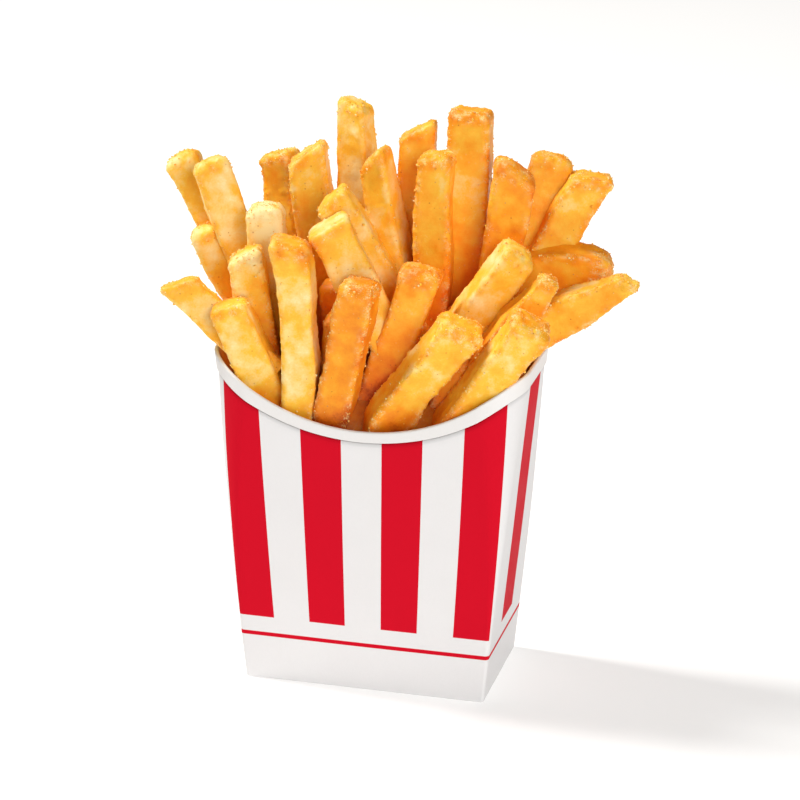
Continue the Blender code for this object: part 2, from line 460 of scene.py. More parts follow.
@dataclass(frozen=True)
class Finish:
    """Sockets that every finish sets on its own Principled shader."""

    specular: float
    roughness: float = 0.5
    subsurface: float = 0.0
    subsurface_radius: tuple[float, float, float] = (1.0, 0.4, 0.15)
    subsurface_depth: float = 1.0 * MM
    coat: float = 0.0
    coat_roughness: float = 0.3

    def start(self, name: str) -> tuple[bpy.types.Material, Desk, bpy.types.Node]:
        """Make a material with this finish's plain numbers.

        Args:
            name: the material's name.

        Returns:
            The material, a desk for its nodes and its shader.
        """
        material = bpy.data.materials.new(name)
        material.use_nodes = True
        shader = material.node_tree.nodes["Principled BSDF"]
        desk = Desk(material.node_tree)
        desk.feed_all(shader, {
            "Roughness": self.roughness, "Specular IOR Level": self.specular,
            "Subsurface Weight": self.subsurface, "Subsurface Radius": self.subsurface_radius,
            "Subsurface Scale": self.subsurface_depth, "Coat Weight": self.coat,
            "Coat Roughness": self.coat_roughness,
        })
        return material, desk, shader


@dataclass(frozen=True)
class PrintedBoard:
    """Coated white board printed with red stripes over a white foot and a thin red line."""

    white: tuple[float, float, float] = (0.83, 0.815, 0.81)
    red: tuple[float, float, float] = (0.66, 0.005, 0.020)
    print_low: float = 22 * MM
    line_low: float = 15.2 * MM
    line_high: float = 16.6 * MM
    line_softness: float = 0.08 * MM
    edge_softness: float = 0.006
    # strength of the painted shadow under the turned rim's lip
    rim_shadow_strength: float = 0.55
    scuff_level: float = 0.62
    scuff_share: float = 0.55
    relief: float = 0.03 * MM
    finish: Finish = Finish(specular=0.03)

    def build(self, fibre: bpy.types.NodeTree) -> bpy.types.Material:
        """Make the material.

        The print's first coordinate counts the stripes round the carton, so its sine, at half a
        turn a stripe, is positive on every other one. The second is the height. Just under the
        turned rim the colour is darkened by a painted shadow of the rim's lip.

        Args:
            fibre: the board fibre group.

        Returns:
            The material.
        """
        material, desk, shader = self.finish.start("printed_board")
        split = desk.node("ShaderNodeSeparateXYZ", {
            "Vector": desk.node("ShaderNodeUVMap", uv_map="print").outputs[0]})
        count, height = split.outputs[0], split.outputs[1]
        wave = desk.sum("SINE", desk.sum("MULTIPLY", count, math.pi))
        stripe = desk.span(wave, -self.edge_softness, self.edge_softness)
        edge = self.line_softness
        above = desk.span(height, self.print_low - edge, self.print_low + edge)
        over_line = desk.span(height, self.line_low - edge, self.line_low + edge)
        under_line = desk.span(height, self.line_high - edge, self.line_high + edge, 1, 0)
        line = desk.sum("MULTIPLY", over_line, under_line)
        inked = desk.sum("MAXIMUM", desk.sum("MULTIPLY", stripe, above), line)
        grain = desk.node("ShaderNodeGroup", {
            "Fold": desk.attribute("fold"), "Scuff Level": self.scuff_level}, node_tree=fibre)
        shade = desk.span(grain.outputs["Mottle"], 0.25, 0.75, 0.975, 1.0)
        fine = desk.span(grain.outputs["Grain"], 0.2, 0.8, 0.985, 1.01)
        # painted shadow: the print darkens just under the turned rim
        rim_shadow_tint = desk.span(desk.attribute("rim_shadow"), 0, 1, 1, 1 - self.rim_shadow_strength)
        tint = desk.sum("MULTIPLY", desk.sum("MULTIPLY", shade, fine), rim_shadow_tint)
        ink = desk.blend(inked, self.white, self.red)
        scuffed = desk.sum("MULTIPLY", grain.outputs["Scuff"], self.scuff_share)
        desk.feed_all(shader, {
            "Base Color": desk.scaled(desk.blend(scuffed, ink, self.white), tint),
            "Roughness": desk.span(grain.outputs["Mottle"], 0.3, 0.7, 0.55, 0.65),
            "Normal": desk.bump(grain.outputs["Grain"], 0.35, self.relief),
        })
        return material


@dataclass(frozen=True)
class BareBoard:
    """The uncoated side of the board: white on the turned rim, and orange inside from an oil stain
    together with a painted glow reflected from the fries.
    """

    white: tuple[float, float, float] = (0.83, 0.81, 0.79)
    oil_stain_and_glow: tuple[float, float, float] = (0.92, 0.46, 0.14)
    relief: float = 0.04 * MM
    finish: Finish = Finish(specular=0.15)

    def build(self, fibre: bpy.types.NodeTree) -> bpy.types.Material:
        """Make the material: fibre, and an orange tint where the mesh says the board is inside,
        partly an oil stain and partly a painted glow reflected from the fries.

        Args:
            fibre: the board fibre group.

        Returns:
            The material.
        """
        material, desk, shader = self.finish.start("bare_board")
        grain = desk.node("ShaderNodeGroup", node_tree=fibre)
        # orange inside: partly an oil stain, partly a painted glow of light reflected from the fries
        stain_and_glow = desk.sum("MULTIPLY", desk.attribute("inside"),
                          desk.span(grain.outputs["Mottle"], 0.30, 0.60, 0.7, 1.0))
        tint = desk.span(grain.outputs["Grain"], 0.2, 0.8, 0.975, 1.01)
        desk.feed_all(shader, {
            "Base Color": desk.scaled(desk.blend(stain_and_glow, self.white, self.oil_stain_and_glow), tint),
            "Roughness": desk.span(stain_and_glow, 0, 1, 0.6, 0.4),
            "Normal": desk.bump(grain.outputs["Grain"], 0.4, self.relief),
        })
        return material


@dataclass(frozen=True)
class FriedCrust:
    """Golden fried potato in a thin seasoned coating.

    The mesh says how toasted each point is, with painted shade low in the gaps added in,
    and how much floury coating has gathered there.
    """

    name: str = "golden_crust"
    cream: tuple[float, float, float] = (0.98, 0.78, 0.37)
    yellow: tuple[float, float, float] = (0.97, 0.53, 0.040)
    gold: tuple[float, float, float] = (0.95, 0.34, 0.009)
    amber: tuple[float, float, float] = (0.82, 0.19, 0.005)
    brown: tuple[float, float, float] = (0.42, 0.055, 0.002)
    flour: tuple[float, float, float] = (0.96, 0.70, 0.30)
    # scales the whole colour; below 1 it is painted shade
    darkness: float = 1.0
    patch_reach: float = 0.13
    grain_reach: float = 0.05
    speck_share: float = 0.5
    glint_share: float = 0.14
    relief: float = 0.12 * MM
    finish: Finish = Finish(specular=0.25, subsurface=0.12, subsurface_depth=1.4 * MM, coat=0.04)

    def build(self, fried: bpy.types.NodeTree) -> bpy.types.Material:
        """Make the material.

        Args:
            fried: the fried grain group.

        Returns:
            The material.
        """
        material, desk, shader = self.finish.start(self.name)
        grain = desk.node("ShaderNodeGroup", node_tree=fried)
        patch = desk.span(grain.outputs["Patch"], 0.25, 0.75, -self.patch_reach, self.patch_reach)
        tint = desk.span(grain.outputs["Grain"], 0.25, 0.75, -self.grain_reach, self.grain_reach)
        toast = desk.sum("ADD", desk.sum("ADD", desk.attribute("toast"), patch), tint)
        stops = ((0.0, self.cream), (0.26, self.yellow), (0.52, self.gold),
                 (0.78, self.amber), (1.0, self.brown))
        fried_colour = desk.ramp(toast, stops)
        dusty = desk.sum("MULTIPLY", desk.attribute("flour"),
                         desk.span(grain.outputs["Grain"], 0.40, 0.62))
        coated = desk.blend(dusty, fried_colour, self.flour)
        speckled = desk.blend(desk.sum("MULTIPLY", grain.outputs["Speck"], self.speck_share),
                              coated, self.brown)
        salted = desk.blend(desk.sum("MULTIPLY", grain.outputs["Glint"], self.glint_share),
                            speckled, self.flour)
        raised = desk.sum("ADD", grain.outputs["Grain"],
                          desk.sum("MULTIPLY", grain.outputs["Glint"], 0.5))
        desk.feed_all(shader, {
            "Base Color": desk.scaled(salted, self.darkness),
            "Roughness": desk.span(grain.outputs["Patch"], 0.3, 0.7, 0.42, 0.60),
            "Normal": desk.bump(raised, 0.7, self.relief),
        })
        return material


@dataclass
class Carton:
    """Folded paperboard carton: flared walls, a scooped mouth and a rim turned outwards."""

    base_width: float = 78.8 * MM
    base_depth: float = 45 * MM
    side_flare: float = 0.101
    front_flare: float = 0.0265
    wall: float = 0.8 * MM
    floor: float = 1.0 * MM
    base_corner: float = 1 * MM
    mouth_corner: float = 13.5 * MM
    mouth_height: float = 102 * MM
    scoop_low: float = 85.8 * MM
    scoop_rise: float = 19 * MM
    scoop_half_width: float = 49.7 * MM
    scoop_rounding: float = 24
    turn_low: float = 3.5 * MM
    turn_widening: float = 2.3 * MM
    turn_proud: float = 0.5 * MM
    groove_low: float = 0.5 * MM
    groove_high: float = 0.3 * MM
    groove_depth: float = 0.28 * MM
    # how far down the painted shadow under the turned rim reaches
    rim_shadow_reach: float = 0.7 * MM
    fold_radius: float = 0.3 * MM
    bulge: float = 0.3 * MM
    waviness: Ripple = Ripple(0.1 * MM, 26 * MM)
    waviness_seed: int = 5
    crown_share: float = 0.9
    lip_radius: float = 0.07 * MM
    corner_steps: int = 16
    front_steps: int = 110
    side_steps: int = 44
    wall_rows: int = 70
    band_rows: int = 6
    bend_rows: int = 13
    inner_rows: int = 39
    front_bands: int = 7
    side_bands: int = 3

    def columns(self) -> tuple[Array, Array, Array]:
        """Describe each column of the wall, which keeps its place at every height.

        A corner's column lies on an arc round the corner's centre, and a straight wall's column
        lies between two corners' centres. So a column is a pair of shares of the way to the
        corners' centres, and the direction in which the wall faces there.

        Returns:
            The shares along X and Y, the facing directions, and the panel's number with the
            angle past its own facing, as three arrays.
        """
        corners = ((1, -1), (1, 1), (-1, 1), (-1, -1))
        shares, facings, panels = [], [], []
        for index, corner in enumerate(corners):
            angle = np.linspace(0, math.pi / 2, self.corner_steps + 1)
            start = -math.pi / 2 + index * math.pi / 2
            shares.append(np.tile(np.array(corner, dtype=float), (len(angle), 1)))
            facings.append(angle + start)
            late = angle > math.pi / 4
            panels.append(np.stack((
                np.where(late, index + 1, index) % 4,
                np.where(late, angle - math.pi / 2, angle)), axis=-1))
            steps = self.side_steps if index % 2 == 0 else self.front_steps
            way = np.arange(1, steps) / steps
            following = np.array(corners[(index + 1) % 4], dtype=float)
            straight = np.array(corner) * (1 - way)[:, None] + following * way[:, None]
            shares.append(straight)
            facings.append(np.full(len(way), start + math.pi / 2))
            panels.append(np.stack((np.full(len(way), (index + 1) % 4.0), 0 * way), axis=-1))
        return np.concatenate(shares), np.concatenate(facings), np.concatenate(panels)

    def half_sizes(self, height: Array) -> tuple[Array, Array, Array]:
        """Half width, half depth and corner radius of the outer wall at a height."""
        share = np.clip(height / self.mouth_height, 0, 1)
        radius = self.base_corner + (self.mouth_corner - self.base_corner) * share**2
        half_width = self.base_width / 2 + self.side_flare * height
        half_depth = self.base_depth / 2 + self.front_flare * height
        return half_width, half_depth, radius

    def scoop_share(self, x: Array) -> Array:
        """Share of the scoop's rise at x: a parabola that levels out over the sides."""
        reach = np.abs(x) / self.scoop_half_width
        return reach**2 / (1 + reach**self.scoop_rounding) ** (2 / self.scoop_rounding)

    def rim_height(self, x: Array) -> Array:
        """Height of the turned band's lower edge at x."""
        return self.scoop_low + self.scoop_rise * self.scoop_share(x)

    def turn_height(self, x: Array) -> Array:
        """Height of the turned band itself at x."""
        return self.turn_low + self.turn_widening * self.scoop_share(x)

    def outline(self, height: Array, offset: Array) -> Array:
        """Places on the wall at a height for every column.

        A place is the corner's centre times the column's shares, plus the corner radius and the
        offset along the column's facing.

        Args:
            height: height of each place, as rows and columns.
            offset: distance outwards from the outer wall, of the same shape.

        Returns:
            Places as rows, columns and three coordinates.
        """
        shares, facing, _ = self.columns()
        half_width, half_depth, radius = self.half_sizes(height)
        x = shares[:, 0] * (half_width - radius) + (radius + offset) * np.cos(facing)
        y = shares[:, 1] * (half_depth - radius) + (radius + offset) * np.sin(facing)
        return np.stack((x, y, height), axis=-1)

    def mouth_line(self) -> Array:
        """The X of each column at the height of the mouth, from which its rim is worked out."""
        _, facing, _ = self.columns()
        level = np.full(len(facing), self.mouth_height)
        return self.outline(level, 0 * level)[:, 0]

    def profile(self) -> tuple[Array, Array]:
        """The board's section, from the outer base up, round the turned rim and down the inside.

        The wall ends in a narrow groove, so the turned band's lower lip stands over a dark line.

        Returns:
            Rows of share of the rim's height, share of the band's height, lift and offset; and
            the face that each row belongs to.
        """
        middle = (self.turn_proud - self.wall) / 2
        half = (self.turn_proud + self.wall) / 2
        crown = self.crown_share * half
        low, high, deep = self.groove_low, self.groove_high, self.groove_depth
        lip = self.lip_radius
        wall = [(0, 0, lift * self.fold_radius, 0) for lift in (0.1, 0.3, 0.6, 1)]
        wall += [(share, 0, -1.2 * low * share, 0)
                 for share in np.linspace(0, 1, self.wall_rows)[1:]]
        wall += [(1, 0, -low, -0.2 * deep), (1, 0, -0.8 * low, -deep), (1, 0, high, -deep)]
        turned = [(1, 0, high, -0.2 * deep), (1, 0, lip, 0), (1, 0, 0, lip),
                  (1, 0, 0, self.turn_proud - lip), (1, 0, lip, self.turn_proud)]
        turned += [(1, share, -crown * share, self.turn_proud)
                   for share in np.linspace(0.06, 1, self.band_rows + 1)[:-1]]
        turned += [(1, 1, crown * (math.sin(turn) - 1), middle + half * math.cos(turn))
                   for turn in np.linspace(0, math.pi, self.bend_rows)]
        inner = [(share, share, -crown * share, -self.wall)
                 for share in np.linspace(1, 0.03, self.inner_rows + 1)[1:]]
        sides = [BoardFace.PRINTED.value] * len(wall) + [BoardFace.TURNED.value] * len(turned)
        sides += [BoardFace.INNER.value] * len(inner)
        return np.array(wall + turned + inner), np.array(sides)

    def build_skin(self) -> tuple[Skin, Array]:
        """The whole board as one closed skin.

        The wide walls swell a little in the middle, by a half sine over the height times
        1 - s^2 over the share s of the width, and every wall waves slightly.

        Returns:
            The skin, and for each face whether it is the printed outer wall.
        """
        shares, facing, panels = self.columns()
        mouth = self.mouth_line()
        rim, band = self.rim_height(mouth), self.turn_height(mouth)
        profile, sides = self.profile()
        share, turned, lift, offset = (profile[:, index][:, None] for index in range(4))
        height = share * rim + turned * band + lift
        near_base = np.clip(1 - height / self.fold_radius, 0, 1)
        tuck = self.fold_radius * (1 - np.sqrt(1 - near_base**2))
        tuck = np.where(sides[:, None] == BoardFace.PRINTED.value, tuck, 0)
        walls = self.outline(height, offset - tuck)
        normal = np.stack((np.cos(facing), np.sin(facing), 0 * facing), axis=-1)
        swell = self.bulge * np.sin(share * math.pi) * (1 - shares[:, 0] ** 2)
        wave = self.waviness.at(walls, self.waviness_seed) * ramp(height, 4 * MM, 20 * MM)
        walls = walls + normal * (swell + wave)[..., None]
        base_height = np.zeros((1, len(rim)))
        base_row = self.outline(base_height, base_height - self.fold_radius)
        floor_row = self.outline(base_height + self.floor, base_height - self.wall)
        under = [base_row * np.array((size, size, 1)) for size in (0.5, 0.9, 1)]
        within = [floor_row * np.array((size, size, 1)) for size in (1, 0.5)]
        rings = np.concatenate(under + [walls] + within)
        sides = np.concatenate((np.full(len(under), BoardFace.PRINTED.value), sides,
                                np.full(len(within), BoardFace.INNER.value)))
        depth = rim + band - rings[..., 2]
        is_inner = sides[:, None] == BoardFace.INNER.value
        is_printed = sides[:, None] == BoardFace.PRINTED.value
        inside = np.where(is_inner, ramp(depth, 0.6 * MM, 2.5 * MM), 0)
        # painted shadow under the turned rim's lip on the printed wall, fading downwards
        under_rim = np.clip(rim - rings[..., 2], 0, None)
        rim_shadow = np.where(is_printed, np.exp(-under_rim / self.rim_shadow_reach), 0)
        skin = Skin.from_rings(rings, np.zeros(3), np.array((0, 0, self.floor)), {
            "inside": inside, "rim_shadow": rim_shadow, "fold": self.fold_mask(rings, shares, facing)})
        self.add_print(skin, rings, panels, shares)
        printed_rows = sides[:-1] == BoardFace.PRINTED.value
        faces = np.concatenate((np.repeat(printed_rows, len(rim)),
                                np.ones(len(rim), bool), np.zeros(len(rim), bool)))
        return skin, faces

    def fold_mask(self, rings: Array, shares: Array, facing: Array) -> Array:
        """How near each place is to a fold: 1 at the base's edge and at the lower corners.

        It is the larger of a bell curve over the height and one over the angle from the corner's
        middle, which fades as the corner opens into a round.
        """
        base = np.exp(-(rings[..., 2] / (0.9 * MM)) ** 2)
        turned = (facing + math.pi / 2) % (math.pi / 2)
        is_corner = (np.abs(shares[:, 0]) == 1) & (np.abs(shares[:, 1]) == 1)
        corner = np.where(is_corner, np.exp(-((turned - math.pi / 4) / 0.35) ** 2), 0)
        fade = 1 - ramp(rings[..., 2], 12 * MM, 75 * MM)
        return np.maximum(base, corner * fade)

    def add_print(self, skin: Skin, rings: Array, panels: Array, shares: Array) -> None:
        """Give each face corner its place in the print.

        Round a panel the distance from its middle is the share times the centre's distance, plus
        the corner radius times the angle turned. Divided by the distance to the corner's middle,
        it runs from -1 to 1, and so counts the panel's bands. The other coordinate is the height.

        Args:
            skin: the board's skin, whose print is set here.
            rings: its places.
            panels: panel number and angle of each column.
            shares: shares of each column.
        """
        half_width, half_depth, radius = self.half_sizes(rings[..., 2])
        panel = panels[:, 0].astype(int)
        wide = (panel == Panel.FRONT.value) | (panel == Panel.BACK.value)
        reach = np.where(wide, half_width, half_depth) - radius
        along = np.select(
            [panel == each.value for each in Panel],
            [shares[:, 0], shares[:, 1], -shares[:, 0], -shares[:, 1]])
        way = (along * reach + radius * panels[:, 1]) / (reach + radius * math.pi / 4)
        bands = np.where(wide, self.front_bands, self.side_bands)
        starts = np.array((0, self.front_bands, self.front_bands + self.side_bands,
                           2 * self.front_bands + self.side_bands))
        count = starts[panel] + bands * (way + 1) / 2
        total = 2 * (self.front_bands + self.side_bands)
        after = np.roll(count, -1, axis=1)
        after = np.where(after < count - total / 2, after + total, after)
        height = rings[..., 2]
        near = np.stack((count, height), axis=-1)
        far = np.stack((after, np.roll(height, -1, axis=1)), axis=-1)
        skin.quad_print = np.stack((near[:-1], far[:-1], far[1:], near[1:]), axis=2).reshape(-1, 4, 2)
        skin.triangle_print = np.concatenate((
            np.stack((near[0], far[0], near[0]), axis=1),
            np.stack((near[-1], far[-1], near[-1]), axis=1)))

    def build(self, printed: bpy.types.Material, bare: bpy.types.Material) -> bpy.types.Object:
        """Make the carton piece, with the print outside and bare board at the rim and inside."""
        skin, faces = self.build_skin()
        piece = skin.to_object("carton_board", Node.CARTON, Slot.BOARD, [printed, bare])
        piece.data.polygons.foreach_set("material_index", np.where(faces, 0, 1).astype(np.int32))
        piece.data.update()
        return piece

    def keep_inside(self, points: Array, clearance: float) -> Array:
        """Push points that would run into the wall back inside it.

        For a point below the rim's top, d is its distance outside a rounded rectangle: the length
        of the part of (|x|, |y|) beyond the corner's centre, less the radius. Where d is over
        -(wall + clearance), the point moves against its direction from the centre by the excess.

        Args:
            points: places, three coordinates to a row.
            clearance: gap to keep from the wall.

        Returns:
            The corrected places.
        """
        flat = points[..., :2]
        height = np.clip(points[..., 2], 0, None)
        half_width, half_depth, radius = self.half_sizes(height)
        corner = np.stack((half_width - radius, half_depth - radius), axis=-1)
        beyond = np.maximum(np.abs(flat) - corner, 0)
        length = np.linalg.norm(beyond, axis=-1)
        excess = length - radius + self.wall + clearance
        x = points[..., 0]
        below = height < self.rim_height(x) + self.turn_height(x)
        move = np.where(below & (excess > 0) & (excess < 3 * MM), excess, 0)
        direction = beyond / np.maximum(length, TINY)[..., None] * np.sign(flat)
        moved = points.copy()
        moved[..., :2] = flat - direction * move[..., None]
        return moved


LAID_AT = 100


@dataclass(frozen=True)
class Fry:
    """One fry, in millimetres and degrees.

    Its axis is given where it crosses the height LAID_AT. The slant lifts the right side of its
    end, toast runs from 0, pale, to 1, brown, and crust says how rough and floury its edges are.
    """

    across: float
    deep: float
    lean: float
    pitch: float
    top: float
    foot: float
    width: float
    turn: float
    bow: float = 0
    tip: float = 1
    slant: float = 0
    toast: float = 0.34
    crust: float = 0.5
    tip_toast: float = 0.03
    rounding: float = 2.2


FRONT_ROW = (
    Fry(-34.3, -16.8, -21.3, -8, 126, 74, 12, 12, slant=-4, toast=0.26),
    Fry(-24.4, -18, 2.2, -8, 149, 72, 10.3, 8, -3, 1.15, slant=-22, toast=0.18, tip_toast=0.3),
    Fry(-8, -18, 12, -7, 137, 72, 11.5, 4, 1, slant=8, toast=0.56, crust=0.9),
    Fry(14, -17, 35, -8, 125.5, 80, 13, 24, 1, slant=12, toast=0.34, crust=1.0, rounding=2.8),
    Fry(33, -17, 36, -8, 128.2, 84, 12.6, 22, -0.5, toast=0.36, crust=0.9, rounding=2.6),
)
SECOND_ROW = (
    Fry(-28.4, -14.5, -48.5, -3, 130.1, 102, 11.4, 16, slant=-30, toast=0.24),
    Fry(-36, -7, -8, -6, 140, 74, 11, 10, slant=14, toast=0.28, crust=1.0, tip_toast=-0.1),
    Fry(10.7, -3, -25.2, -12, 152, 104, 13, 22, slant=4, toast=0.16, rounding=1.4),
    Fry(2, -7, 20, -5, 139, 74, 12, 10, slant=8, toast=0.46, rounding=3.2),
    Fry(30, -7, 34, -4, 139, 92, 12, 15, 0, 0.4, toast=0.36, crust=0.8),
)
THIRD_ROW = (
    Fry(-35.3, 2, -3, -2, 152.5, 74, 11, 8, toast=0.10, tip_toast=-0.05, rounding=3.8),
    Fry(-36.3, 8, -20.5, 2, 162.8, 92, 12, 26, slant=2, toast=0.15, rounding=3.2),
    Fry(17, 6, -30, -9, 157, 106, 12, 15, slant=14, toast=0.22, crust=0.8, rounding=1.3),
    Fry(14.5, -1, 34, -4, 145.5, 96, 11, 20, slant=-4, toast=0.20, rounding=2.6),
    Fry(22.8, 3, 56.8, 2, 136.2, 106, 11.8, 10, 0.5, 0.5, slant=34, toast=0.24, crust=0.8),
)
FOURTH_ROW = (
    Fry(-34.3, 8, -34.5, 2, 140.6, 108, 9.6, 15, 2, toast=0.15, rounding=3.4),
    Fry(8.7, 10, -12, 2, 167.8, 84, 9.5, -6, 0, 0.9, slant=34, toast=0.22),
    Fry(13.4, 8, 1, 2, 170.3, 84, 11.4, 5, slant=4, toast=0.40, crust=0.7, rounding=2.8),
    Fry(30, 8, 8.6, 3, 167.6, 84, 12.4, 16, 0, 1.05, slant=-22, toast=0.52, rounding=3.2),
    Fry(22, 3, 55, 22, 133.2, 104, 14, 8, 14.5, 0.9, toast=0.50, crust=1.0, rounding=3.6),
)
BACK_ROW_LEFT = (
    Fry(-34.9, 13, -32.6, 8, 160.4, 100, 11, 12, toast=0.17, rounding=3.8),
    Fry(-29.8, 17, -9.9, 7, 162.8, 84, 10.5, -8, slant=4, toast=0.32, crust=1.0),
    Fry(-20, 11, -7, 4, 166.7, 84, 11.5, 12, slant=28, toast=0.28, crust=0.8),
    Fry(-11, 17, -3, 6, 181, 84, 11.5, -8, 0, 0.85, slant=-22, toast=0.11),
)
BACK_ROW_RIGHT = (
    Fry(5.1, 17, 0, 6, 174.2, 84, 12.1, 8, 0, 0.88, slant=28, toast=0.36),
    Fry(23.1, 16, 0, 3, 182, 84, 13.4, 6, slant=-3, toast=0.36, crust=1.0, tip_toast=0.1),
    Fry(34.1, 17, 12, 7, 168.2, 88, 13.6, 12, 0, 0.9, toast=0.38, rounding=3.2),
    Fry(33, 13, 25, 8, 163.5, 92, 12.4, 14, 2.2, 1.05, slant=22, toast=0.36, crust=0.9),
)
INNER_FRIES = (
    Fry(-24, -6, -3, -2, 132, 84, 10, 12),
    Fry(-12, -6, 2, -2, 121, 84, 10, 5),
    Fry(-14, 4, -4, 0, 128, 84, 10.5, 10),
    Fry(1, 4, 4, 0, 124, 84, 10.5, 16),
    Fry(-5, 13, -2, 4, 134, 84, 10.5, 10),
    Fry(24, -8, 14, -4, 112, 80, 10, 10),
    Fry(28, -1, 10, -2, 119, 84, 10.5, 10),
    Fry(41, -5, 12, 0, 113, 84, 10, 8),
    Fry(40.5, 6, 14, 3, 118, 84, 10.5, -10),
    Fry(-41.5, 2, -10, 0, 114, 84, 10, 6),
    Fry(19, 4, 17, 2, 121, 84, 10, 20),
    Fry(34, 0, 22, 0, 116, 88, 10, 5),
)
REAR_FRIES = (
    Fry(-21, 18, -5, 9, 145, 84, 10.5, 5, slant=10),
    Fry(14, 18, 4, 9, 139, 84, 11, 12, slant=-12),
    Fry(-39.5, 14, -14, 5, 131, 84, 10, 8, slant=8),
    Fry(38.5, 15.5, 13, 7, 129, 84, 10.5, 10, slant=-8),
)


@dataclass
class FrySkin:
    """A fry's finished skin, with what its crumbs need to know."""

    skin: Skin
    places: Array
    normals: Array
    edge: Array
    crust: float


